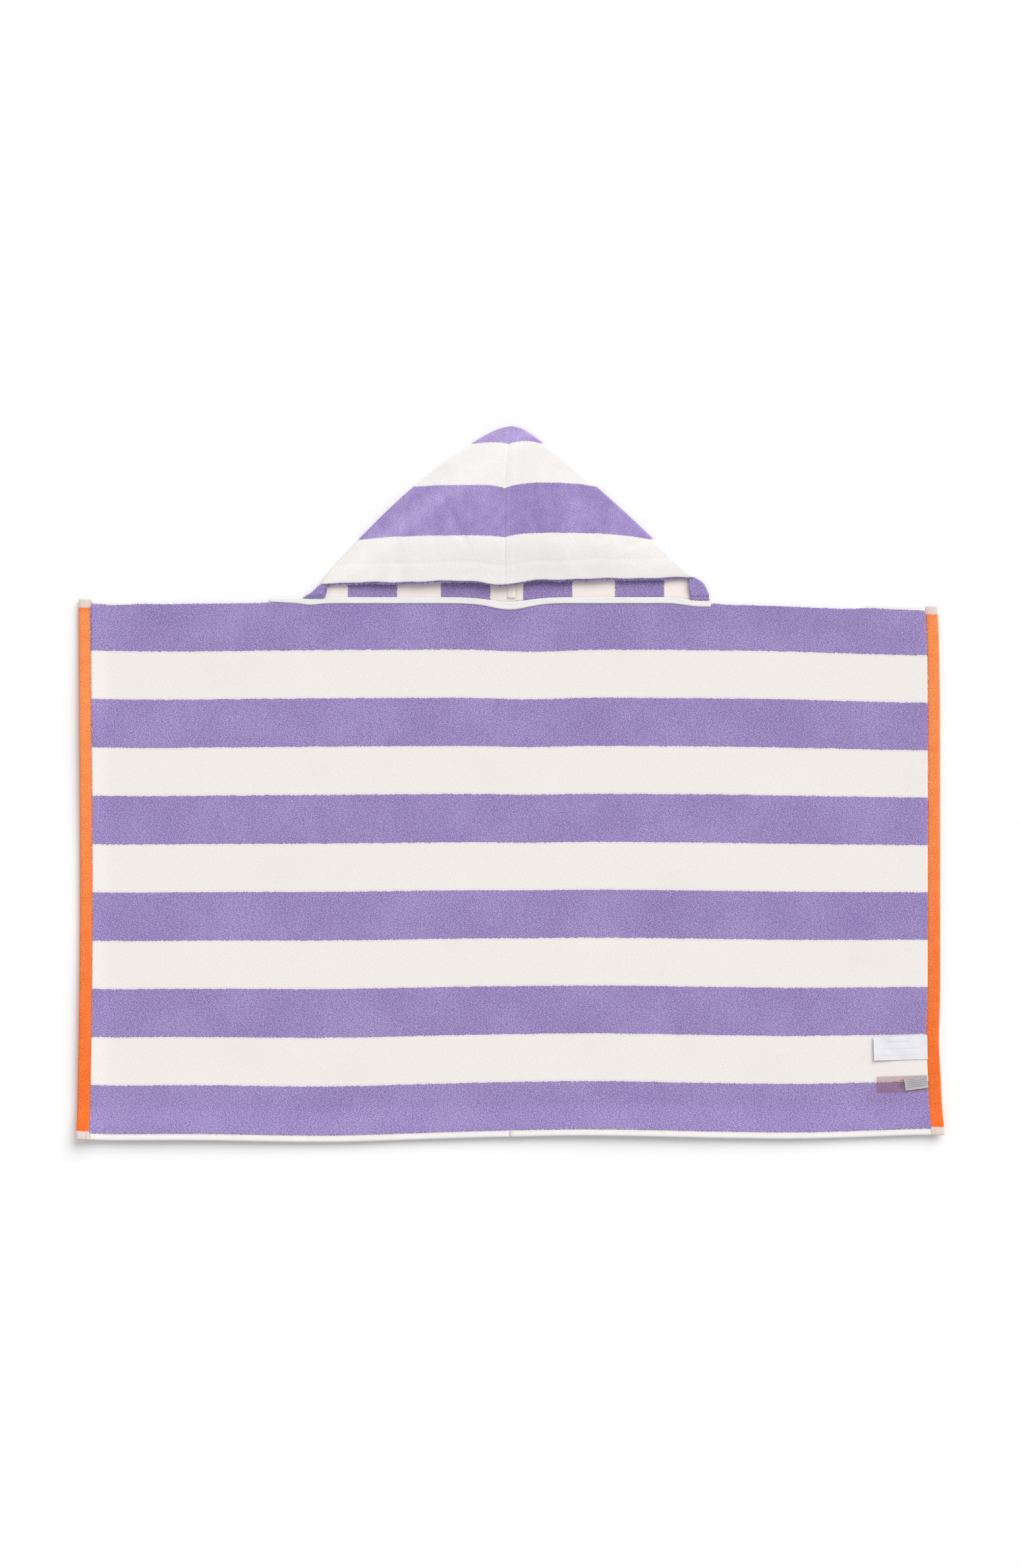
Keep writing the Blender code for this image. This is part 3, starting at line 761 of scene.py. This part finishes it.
# ---------------------------------------------------------------------------------------------
# The hood's front layer. The same cloth with its outer loops sheared to velour, its stripes level with
# the towel's. Two pieces meet in a crown seam. It is one with the back layer at the slanting folds and
# open at the mouth, and stands up in a shallow dome over the lining.

CLOTH = 0.0035               # thickness of the sheared cloth
HEM = 0.025                  # depth of the hem turned up inside the mouth
# Painted light on the velour: the deep colour is painted shade between the fibres, the tip colour painted
# light on their tops.
VELOUR_SHADED_DEEP = (0.220, 0.155, 0.385)
VELOUR = (0.325, 0.245, 0.510)
VELOUR_LIT_TIP = (0.490, 0.395, 0.705)


def mouth(x):
    """Height of the mouth's fold over the neck seam. It dips at the crown."""
    ripple = 0.0006 * np.sin(55 * x) + 0.0004 * np.sin(131 * x + 1)
    return 0.021 + 0.016 * x - 0.0065 * bell(0, 0.030, x) + ripple


def fold_start(side, s):
    """Height of the mouth's fold at this share of the way from the crown to the slanting fold."""
    x = s * 0.27
    for _ in range(40):
        x = 0.5 * x + 0.5 * s * half_width(side, mouth(SIGN[side] * x))
    return mouth(SIGN[side] * x)


def dome(side, s, h):
    """Height of the front layer's inner face."""
    x = CROWN_X + s * half_width(side, h) * SIGN[side]
    droop = (0.53 + 0.17 * ease(0.005, 0.060, x)) * ease(0.080, 0.020, h)
    swell = 0.0178 * (1 - s ** 2) * np.clip(1 - h / HOOD, 0, 1) ** 0.8 * (1 - droop)
    if side == "left":
        line = x + 0.060 + (h - 0.070) * 0.50
        crease = -0.0011 * bell(0, 0.0055, line) * ease(0.055, 0.085, h) * ease(0.165, 0.135, h)
        crease = crease - 0.0010 * bell(0, 0.012, x + 0.150 + (h - 0.03) * 0.2) * ease(0.10, 0.03, h)
    else:
        line = (h - 0.078) - (x - 0.190) * 0.35
        crease = -0.0010 * bell(0, 0.0045, line) * ease(0.150, 0.175, x) * ease(0.235, 0.205, x)
        crease = crease - 0.0010 * bell(0, 0.012, x - 0.110 - (h - 0.05) * 0.3) * ease(0.12, 0.04, h)
    return 0.0060 + swell + crease + 0.0005 * unevenness(x * 1.7, 0.3 + h * 1.7) / 0.0015


def face(side, s, h, d):
    """Height of the front layer's outer face, d from the mouth's fold."""
    inward = s * half_width(side, h)
    z = dome(side, s, h) + CLOTH
    z = z + 0.0006 * np.sin(math.pi * np.clip(d / HEM, 0, 1)) ** 0.5
    z = z - 0.0002 * bell(HEM - 0.0012, 0.0035, d) - 0.0004 * np.exp(-inward / 0.0025)
    z = z + 0.0005 * unevenness(inward * 3, 0.1 + h * 3) / 0.0015
    if side == "right":
        z = z + 0.0003 * ease(0.0008, 0.0022, inward) * ease(0.0128, 0.0112, inward)
    return z


def velour():
    """Sheared pile, finer than the loops. Its colour holds painted sheen in soft light and dark patches,
    painted light towards the tip, a painted highlight along a soft crease, and painted shade right of the
    crown seam.
    """
    made, shader, place, u, v = finish_of("velour", 0.9, sheen=0.12)
    fine = place.turned(60, (1, 1.4, 1)).grain(700, 1.0, 0.5, 0.3)
    nap_sheen = place.turned(-25, (1, 0.45, 1)).grain(16, 3.0, 0.55, 1.0)
    soft = place.grain(75, 2.0, 0.5)
    ragged = (place.grain(760, 1.0) - 0.5) * 0.0044 + (place.grain(45, 1.0) - 0.5) * 0.0016
    # Painted shade between the fibres from the fine grain, and painted sheen from the nap, lighter or darker
    # in soft patches.
    level = (fine - 0.5) * 2.6 + (nap_sheen - 0.5) * 0.9 + (soft - 0.5) * 0.5 + 0.5
    crease_highlight = (u + 0.1646 - (v - 0.0916) * 1.34).band(-0.016, 0.020, 0.020)
    # Painted light towards the tip, a painted highlight along a soft crease, and painted shade right of the
    # crown seam.
    level = level + v.step(0.19, 0.235) * 0.35 + crease_highlight * 0.30 - u.step(-0.004, 0.004) * 0.12
    w = v + ragged
    lavender_here = w.step(0.2169, 0.2179) + w.band(0.0845, 0.1565, 0.0005) + (1 - w.step(-0.0004, 0.0004))
    lavender = level.step(0.0, 0.55).mix(VELOUR_SHADED_DEEP, level.step(0.5, 1.1).mix(VELOUR, VELOUR_LIT_TIP))
    cream = level.step(0.0, 1.0).mix((0.765, 0.738, 0.720), (0.860, 0.838, 0.824))
    dress(shader, lavender_here.mix(cream, lavender), fine * 0.7 + soft * 0.3, 0.5, 0.0012)
    return made


velour_paint = velour()
front = {}


def lift_blend(piece):
    """A piece of the hood's front layer, with its place baked into its mesh."""
    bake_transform(piece)


for side, sign in SIDES:
    s_flat = spaced(0, 1, 0.0115, (0.0025, 0.0055, 0.009, 0.015, 0.021, 0.035, 0.043, 0.05))
    turn = np.radians([72, 54, 36, 18, 0, -18, -36, -50])
    s = np.append(s_flat, np.ones(len(turn)))[None, :]
    bend = np.append(np.full(len(s_flat), math.pi / 2), turn)[None, :]
    start = fold_start(side, s) + 0.0018
    reach = spaced(0, 1, 0.0115)[:, None]
    marks = np.array([0.004, 0.008, 0.014, 0.019, 0.0215, 0.0226, 0.0238, 0.0250, 0.0265, 0.029])
    reach = np.sort(np.append(reach[:, 0], 1 - (1 - marks / 0.22) ** (1 / 1.35)))[:, None]
    d = (HOOD - start) * (1 - (1 - np.clip(reach, 0, 1)) ** 1.35)
    h = start + d
    w = half_width(side, h)
    round_off = np.minimum(ROLL - 0.0025 * ease(0.050, 0.020, h), 0.45 * w)
    share = s * (1 - round_off / np.maximum(w, 1e-6))
    edge_top = face(side, share, h, d)
    low = 0.0005
    middle = (edge_top + low) / 2
    high = (edge_top - low) / 2
    cosine, sine = np.cos(bend), np.sin(bend)
    x = CROWN_X + lean(h) + sign * (s * (w - round_off) + round_off * cosine - 0.00015 * ease(0.01, 0, s))
    z = np.where(cosine > 1e-6, middle + high * sine, edge_top)
    thick = 0.0012 + (CLOTH - 0.0012) * np.clip(sine, 0, 1) ** 2
    x_in = CROWN_X + lean(h) + sign * (s * (w - round_off) + (round_off - 0.0012) * cosine + 0.00005)
    z_in = np.where(cosine > 1e-6, middle + (high - thick) * sine, dome(side, share, h))
    # the mouth's fold: the outer face rolls under before it meets the inner one
    roll = np.radians([-50, -30, -10, 10, 30, 50, 70])[:, None]
    roll_y = NECK_Y + start - 0.0018 * np.cos(roll)
    roll_z = np.maximum(z[:1] - 0.0019 + 0.0019 * np.sin(roll), 0.0004)
    ones = np.ones_like(roll_y)
    top = np.concatenate([np.stack([x[:1] * ones, roll_y, roll_z], axis=-1),
                          np.stack([x, NECK_Y + h, z], axis=-1)])
    inner_y = NECK_Y + start - np.linspace(0.0008, 0.0001, len(roll))[:, None]
    under = np.concatenate([np.stack([x_in[:1] * ones, inner_y, z_in[:1] * ones], axis=-1),
                            np.stack([x_in, NECK_Y + h, z_in], axis=-1)])
    # where the stripes lie: they dip towards the crown seam and towards the slanting folds
    inward = s * w
    dip = 0.0026 + 0.0022 * bell(0.155, 0.05, h)
    slump = 0.0022 + 0.0034 * ease(0.150, 0.090, h)
    at_fold = (inward / np.maximum(w, 0.03)) ** 5
    if side == "left":
        shift = dip * np.exp(-inward / 0.014) + slump * at_fold
    else:
        shift = -0.0038 + (dip + 0.0038) * np.exp(-inward / 0.020) + (slump + 0.0030) * at_fold
    stripe = h + shift * ease(HOOD, HOOD - 0.03, h)
    roll_v = np.array([-0.0030, -0.0022, -0.0010, 0.0004, 0.0020, 0.0036, 0.0050])[:, None]
    flat = np.concatenate([np.stack([x[:1] * ones, roll_v + 0 * x[:1]], axis=-1),
                           np.stack([x, np.maximum(stripe, 0.006)], axis=-1)])
    front[side] = layer(f"hood_velour_{side}", top, under, flat, flat, velour_paint, ["first"])
    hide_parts(f"hood_front_{side}")
    lift_blend(front[side])

# ---------------------------------------------------------------------------------------------
# The hood's hem. The mouth's edge is turned up inside by the width of a hand hem and sewn through. The
# cloth turns lavender right at the fold, so a lavender rim of loops shows there, and at the corners.


def hem_stripes(u, v):
    """Lavender all over."""
    return u * 0 + 1, u * 0 + 1


hem_terry = terry("hem_terry", hem_stripes)
hem_band = {}
for side, sign in SIDES:
    near_corner = [0.950, 0.957, 0.962, 0.964, 0.966, 0.968, 0.971, 0.976, 0.981, 0.991, 0.995, 0.998]
    s = np.unique(np.append(spaced(0, 1, 0.0115, (0.004,)), near_corner))[None, :]
    fold = fold_start(side, s)
    # past the mouth's fold the band shows as a rim, and at the corner it rolls out as far as the tape
    bottom = -0.0035 if side == "left" else -0.0066
    shows = 0.0008 + 0.0010 * ease(0.05, 0.45, s)
    past = shows + (fold - bottom - shows) * ease(0.961, 0.969, s)
    fan = np.clip((s - 0.965) / 0.035, 0, 1)
    step = np.array([0, 0.015, 0.04, 0.08, 0.16, 0.28, 0.42, 0.56, 0.70, 0.84, 1.0])[:, None]
    up = np.array([0.10, 0.22, 0.38, 0.55, 0.72, 0.86, 0.94, 0.98, 1.0])[:, None]
    h = np.concatenate([fold - past * (1 - step), fold + HEM * up])
    outward = np.maximum(fold - h, 0)
    w_fold = half_width(side, fold)
    tuck = 0.0044 * ease(0.0, 0.004, h - fold + 0.002)
    w_here = half_width(side, h)
    x_off = np.where(outward > 0, s * w_fold + fan * (w_here - w_fold), s * w_here) - s * tuck
    x = CROWN_X + lean(h) + sign * (x_off + 0.0002)
    inner = dome(side, np.clip(x_off / w_here, 0, 1), np.maximum(h, fold))
    to_rim = np.minimum(h - (fold - past), (fold + HEM - h) * 1.5)
    full = np.sqrt(ease(-0.0003, 0.0024, to_rim))
    full = full * np.sqrt(np.clip(1 - fan ** 8 * ease(0, 0.002, outward), 0, 1))
    corner = ease(0.962, 0.972, s) * ease(0.0015, 0.005, outward)
    curl = 0.0032 * ease(-0.0008, 0.0014, outward) * (1 - corner)
    puffed = corner * (0.0016 * np.sin(math.pi * fan) - 0.0012 * bell(0.45, 0.14, fan) - 0.055 * outward)
    z_middle = np.maximum(inner - 0.0012 + curl + puffed, 0.0052)
    half = 0.00105 + 0.0006 * corner
    top = np.stack([x, NECK_Y + h, z_middle + half * full + 0.0001], axis=-1)
    under = np.stack([x, NECK_Y + h, z_middle - half * full - 0.0001], axis=-1)
    flat = np.stack([x, h], axis=-1)
    hem_band[side] = layer(f"hood_hem_band_{side}", top, under, flat, flat, hem_terry, ["first"])
    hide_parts(f"hood_hem_{side}")
    lift_blend(hem_band[side])

    for name, line, across_by, up_by in (("rim", 1, -0.0003, 0), ("fold", 4, 0.0014, 0.0008)):
        rim = top[line] + (0, across_by, up_by)
        lift_blend(loops_along(f"hood_{name}_loops_{side}", rim, flat[1], hem_terry,
                               21 if sign < 0 else 22, 0.0010))

    s_line = np.linspace(0.004, 0.972, 240)
    start = fold_start(side, s_line)
    line_h = start + HEM - 0.0012
    line_x = CROWN_X + lean(line_h) + sign * s_line * half_width(side, line_h)
    line_z = face(side, s_line, line_h, line_h - start) - 0.0001
    lift_blend(stitched(f"hood_hem_stitches_{side}", np.stack([line_x, NECK_Y + line_h, line_z], axis=-1),
                        0.0034, "white_thread", 0.0026, 0.0004, 7, f"hood_hem_thread_{side}"))

# ---------------------------------------------------------------------------------------------
# The crown seam. The two front pieces are joined from the tip to the mouth. Their edges are turned to the
# right inside and caught down by one row of stitching on the outside.

h = spaced(0.0445, HOOD - 0.030, 0.004)[:, None]
across = np.array(ALLOWANCE)[None, :]
edge_z = np.array([0.0, 0.0008, 0.0011, 0.0011, 0.0011, 0.0008, 0.0])[None, :]
narrow = np.minimum(1, half_width("right", h) / 0.03)
x = CROWN_X + lean(h) + 0.0004 + across * narrow
inner = dome("right", np.clip(across * narrow / half_width("right", h), 0, 1), h)
top = np.stack([x, NECK_Y + h + 0 * x, inner - 0.0002], axis=-1)
under = np.stack([x, NECK_Y + h + 0 * x, inner - 0.0003 - edge_z], axis=-1)
flat = np.stack([x, h + 0 * x], axis=-1)
crown_edge = layer("crown_seam_edge", top, under, flat, flat, velour_paint)
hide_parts("crown_seam_allowance")
lift_blend(crown_edge)

h = np.linspace(float(fold_start("right", 0)) + 0.004, HOOD - 0.012, 240)
inward = np.minimum(0.0058, 0.3 * half_width("right", h))
line_z = face("right", inward / half_width("right", h), h, h - fold_start("right", 0)) - 0.0001
line = np.stack([CROWN_X + lean(h) + inward, NECK_Y + h, line_z], axis=-1)
lift_blend(stitched("crown_stitches", line, 0.0032, "white_thread", 0.0024, 0.0004, 8, "crown_topstitch"))

# ---------------------------------------------------------------------------------------------
# The neck tape. A white cotton tape covers the seam between hood and towel, sewn down along both edges.
# It starts as a narrow tail beyond the hood's left corner and widens over the crown's bulk.

TAPE_FROM = -0.341
TAPE_TO = 0.2855


def tape_line(x):
    """Middle of the tape, as a distance from the front."""
    dips = 0.0075 * bell(0, 0.0374, x) + 0.0047 * ease(0.225, 0.272, x) + 0.0020 * bell(-0.282, 0.014, x)
    return 0.2577 - dips


def tape_half(x):
    """Half the tape's width."""
    wide = 0.0045 + 0.0014 * bell(0, 0.030, x)
    return wide * ease(-0.375, -0.285, x) ** 0.8


def tape_fabric():
    """White cotton tape, finely ribbed."""
    made, shader, place, u, v = finish_of("tape", 0.7, sheen=0.1, specular=0.35)
    ribs = place.turned(12).ribs("X", 420, 1.0, 1.0)
    mottle = place.grain(240, 2.0) * 0.5 + place.grain(28, 2.0) * 0.5
    level = (ribs - 0.5) * 0.35 + (mottle - 0.5) * 1.2 + 0.5
    dress(shader, level.step(0.0, 1.0).mix((0.800, 0.775, 0.750), (0.900, 0.885, 0.875)), ribs, 0.45, 0.0005)
    return made


x = spaced(TAPE_FROM, TAPE_TO, 0.0035, (0.0004, 0.001, 0.002))[None, :]
edge = np.array([-1, -0.96, -0.85, -0.68, -0.45, -0.2, -0.05, 0.05, 0.15, 0.3, 0.68, 0.96, 1])[:, None]
y = tape_line(x) + edge * tape_half(x)
bed = 0.0048 + unevenness(x, y - LOWER_Y) * ease(0.30, 0.20, np.abs(x) - 0.02) + 0 * y
waves = 0.0005 * np.sin(x * 95 + 2 * np.sin(x * 31)) * (1 - edge ** 2)
crown = 0.0004 * (1 - edge ** 8) - 0.00012 * bell(0.05, 0.15, edge) + 0.6 * waves
curl = -0.0007 * ease(0.90, 1, np.abs(edge))
end_drop = -0.0006 * ease(0.002, 0, np.minimum(x - TAPE_FROM, TAPE_TO - x))
top = np.stack([x + 0 * y, y, bed + 0.0006 + crown + curl + end_drop], axis=-1)
under = np.stack([x + 0 * y, y, bed - 0.0002 + 0.6 * crown + curl], axis=-1)
flat = np.stack([x + 0 * y, y], axis=-1)
tape = layer("neck_tape_band", top, under, flat, flat, tape_fabric())
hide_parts("neck_tape")
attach(tape, "towel_middle")
for name, place_across, seed in (("upper", 10, 9), ("lower", 3, 10)):
    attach(stitched(f"neck_tape_stitches_{name}", top[place_across], 0.0030, "white_thread", 0.0023, 0.0004,
                     seed, f"neck_tape_thread_{name}"), "towel_middle")

# ---------------------------------------------------------------------------------------------
# The labels. Three printed satin labels caught in the right-hand hem: a white one to write a name on, a
# sheer one, and a small care label lying on the sheer one. Their print is left as plain rules and bars.


def label_fabric(name, low, high, alpha, print_of, ink):
    """Satin between two tones, with painted sheen and shade over its soft wrinkles, and this print. alpha is
    how much the cloth covers.
    """
    made, shader, place, u, v = finish_of(name, 0.42, sheen=0.05, specular=0.45)
    threads = place.ribs("Y", 800)
    wave = place.grain(55, 2.0)
    # Painted sheen and shade: the satin lighter and darker over its soft wrinkles, which also make its
    # relief.
    level = (threads - 0.5) * 0.25 + (wave - 0.5) * 1.2 + 0.5
    printed = print_of(u, v)
    plain = level.step(0.0, 1.0).mix(low, high)
    dress(shader, (printed * 0.8).mix(plain, ink), threads + wave * 3, 0.25, 0.0004)
    if alpha < 1:
        covers = printed * (1 - alpha) * 0.8 + alpha
        covers.tree.links.new(covers.socket, shader.inputs["Alpha"])
    return made


def name_print(u, v):
    """Two rules to write on, under a short line of dashes."""
    rules = v.band(0.0066, 0.0071, 0.0001) + v.band(0.0160, 0.0165, 0.0001)
    dashes = (u / 0.0026).fraction().band(0.12, 0.72, 0.05) * v.band(0.0252, 0.0272, 0.0002)
    return rules * u.band(0.0043, 0.0664, 0.0003) * 0.6 + dashes * u.band(0.0193, 0.0500, 0.0002) * 0.7


def plain_print(u, v):
    """A few short grey bars in the middle of the label."""
    bars = (v / 0.0026).fraction().band(0.30, 0.62, 0.06) * v.band(0.0050, 0.0182, 0.0002)
    return bars * u.band(0.0330, 0.0450, 0.0003) * 0.7


def care_print(u, v):
    """Grey bars over the whole label."""
    bars = (v / 0.0027).fraction().band(0.28, 0.74, 0.06) * v.band(0.0022, 0.0150, 0.0002)
    return bars * u.band(0.0025, 0.0310, 0.0003) * 0.8


HALF_SATIN = 0.00015         # half the thickness of the satin


def label(node, length, height, tilt, up, lift, raised, paint, seed):
    """A label caught at its right end and lying along the towel. It is tilted by some degrees, set up
    from its CAD box's middle, and raised over what it lies on, and its free end stands off by lift."""
    low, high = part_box(node)
    rows, columns = 15, 33
    a = np.linspace(0, 1, columns)[None, :]
    b = np.linspace(0, 1, rows)[:, None]
    angle = math.radians(tilt)
    along = (1 - a) * length
    side_to = (b - 0.5) * height
    wave = 0.0007 * np.sin(a * 7 + seed) * np.sin(b * 3 + seed * 2)
    x = high[0] - along * math.cos(angle) + side_to * math.sin(angle)
    y = (low[1] + high[1]) / 2 + up + along * math.sin(angle) + side_to * math.cos(angle)
    curl = lift * (1 - a) ** 2.2 * (1 + 0.25 * (b - 0.5))
    z = raised + wave * (1 - a) + curl + unevenness(x, y - LOWER_Y) * 0.9
    top = np.stack([x, y, z + HALF_SATIN], axis=-1)
    under = np.stack([x, y, z - HALF_SATIN], axis=-1)
    flat = np.stack([a * length + 0 * b, b * height + 0 * a], axis=-1)
    made = layer(node + "_cloth", top, under, flat, flat, paint, ["round"])
    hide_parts(node)
    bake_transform(made)
    return made


name_satin = label_fabric("name_satin", (0.690, 0.690, 0.735), (0.800, 0.800, 0.840), alpha=1.0,
                          print_of=name_print, ink=(0.45, 0.45, 0.48))
sheer_satin = label_fabric("sheer_satin", (0.340, 0.110, 0.110), (0.480, 0.200, 0.190), alpha=0.18,
                           print_of=plain_print, ink=(0.10, 0.10, 0.11))
care_satin = label_fabric("care_satin", (0.430, 0.425, 0.450), (0.560, 0.555, 0.575), alpha=0.90,
                          print_of=care_print, ink=(0.16, 0.16, 0.17))
label("name_label", length=0.0765, height=0.0337, tilt=-1.3, up=0.0020, lift=0.0030, raised=0.0052,
      paint=name_satin, seed=1)
label("maker_label", length=0.0720, height=0.0232, tilt=-1.6, up=0.0006, lift=0.0006, raised=0.0050,
      paint=sheer_satin, seed=2)
label("care_label", length=0.0325, height=0.0165, tilt=-7.5, up=0.0000, lift=0.0005, raised=0.0058,
      paint=care_satin, seed=3)

# ---------------------------------------------------------------------------------------------
# Stage, light and camera: a plain pale floor, a wide soft lamp beyond the hood and an even sky.

bpy.ops.mesh.primitive_plane_add(size=40, location=(0, 0, -0.0002))
floor = bpy.context.object
floor.name = "floor"
floor_paint, floor_shader, *_ = finish_of("floor_paint", 0.9)
floor_shader.inputs["Base Color"].default_value = (0.91, 0.91, 0.91, 1)
floor.data.materials.append(floor_paint)

sky = bpy.data.worlds.new("sky")
bpy.context.scene.world = sky
sky.use_nodes = True
sky.node_tree.nodes["Background"].inputs["Color"].default_value = (1, 1, 1, 1)
sky.node_tree.nodes["Background"].inputs["Strength"].default_value = 0.60

key = bpy.data.lights.new("key", "SUN")
key.energy = 2.35
key.angle = math.radians(46)
key_lamp = bpy.data.objects.new("key", key)
key_lamp.rotation_mode = "QUATERNION"
key_lamp.rotation_quaternion = Vector((-0.55, -0.85, -0.95)).to_track_quat("-Z", "Y")
bpy.context.scene.collection.objects.link(key_lamp)

CAMERA_HEIGHT = 6.0
VIEW_TALL = 2.2251
camera = bpy.data.cameras.new("camera")
camera.sensor_fit = "AUTO"
camera.lens = camera.sensor_width * CAMERA_HEIGHT / VIEW_TALL
camera.clip_end = 60
view = bpy.data.objects.new("camera", camera)
view.location = (0.0009, -0.0027, CAMERA_HEIGHT)
bpy.context.scene.collection.objects.link(view)
bpy.context.scene.camera = view
bpy.context.scene.view_settings.view_transform = "Standard"
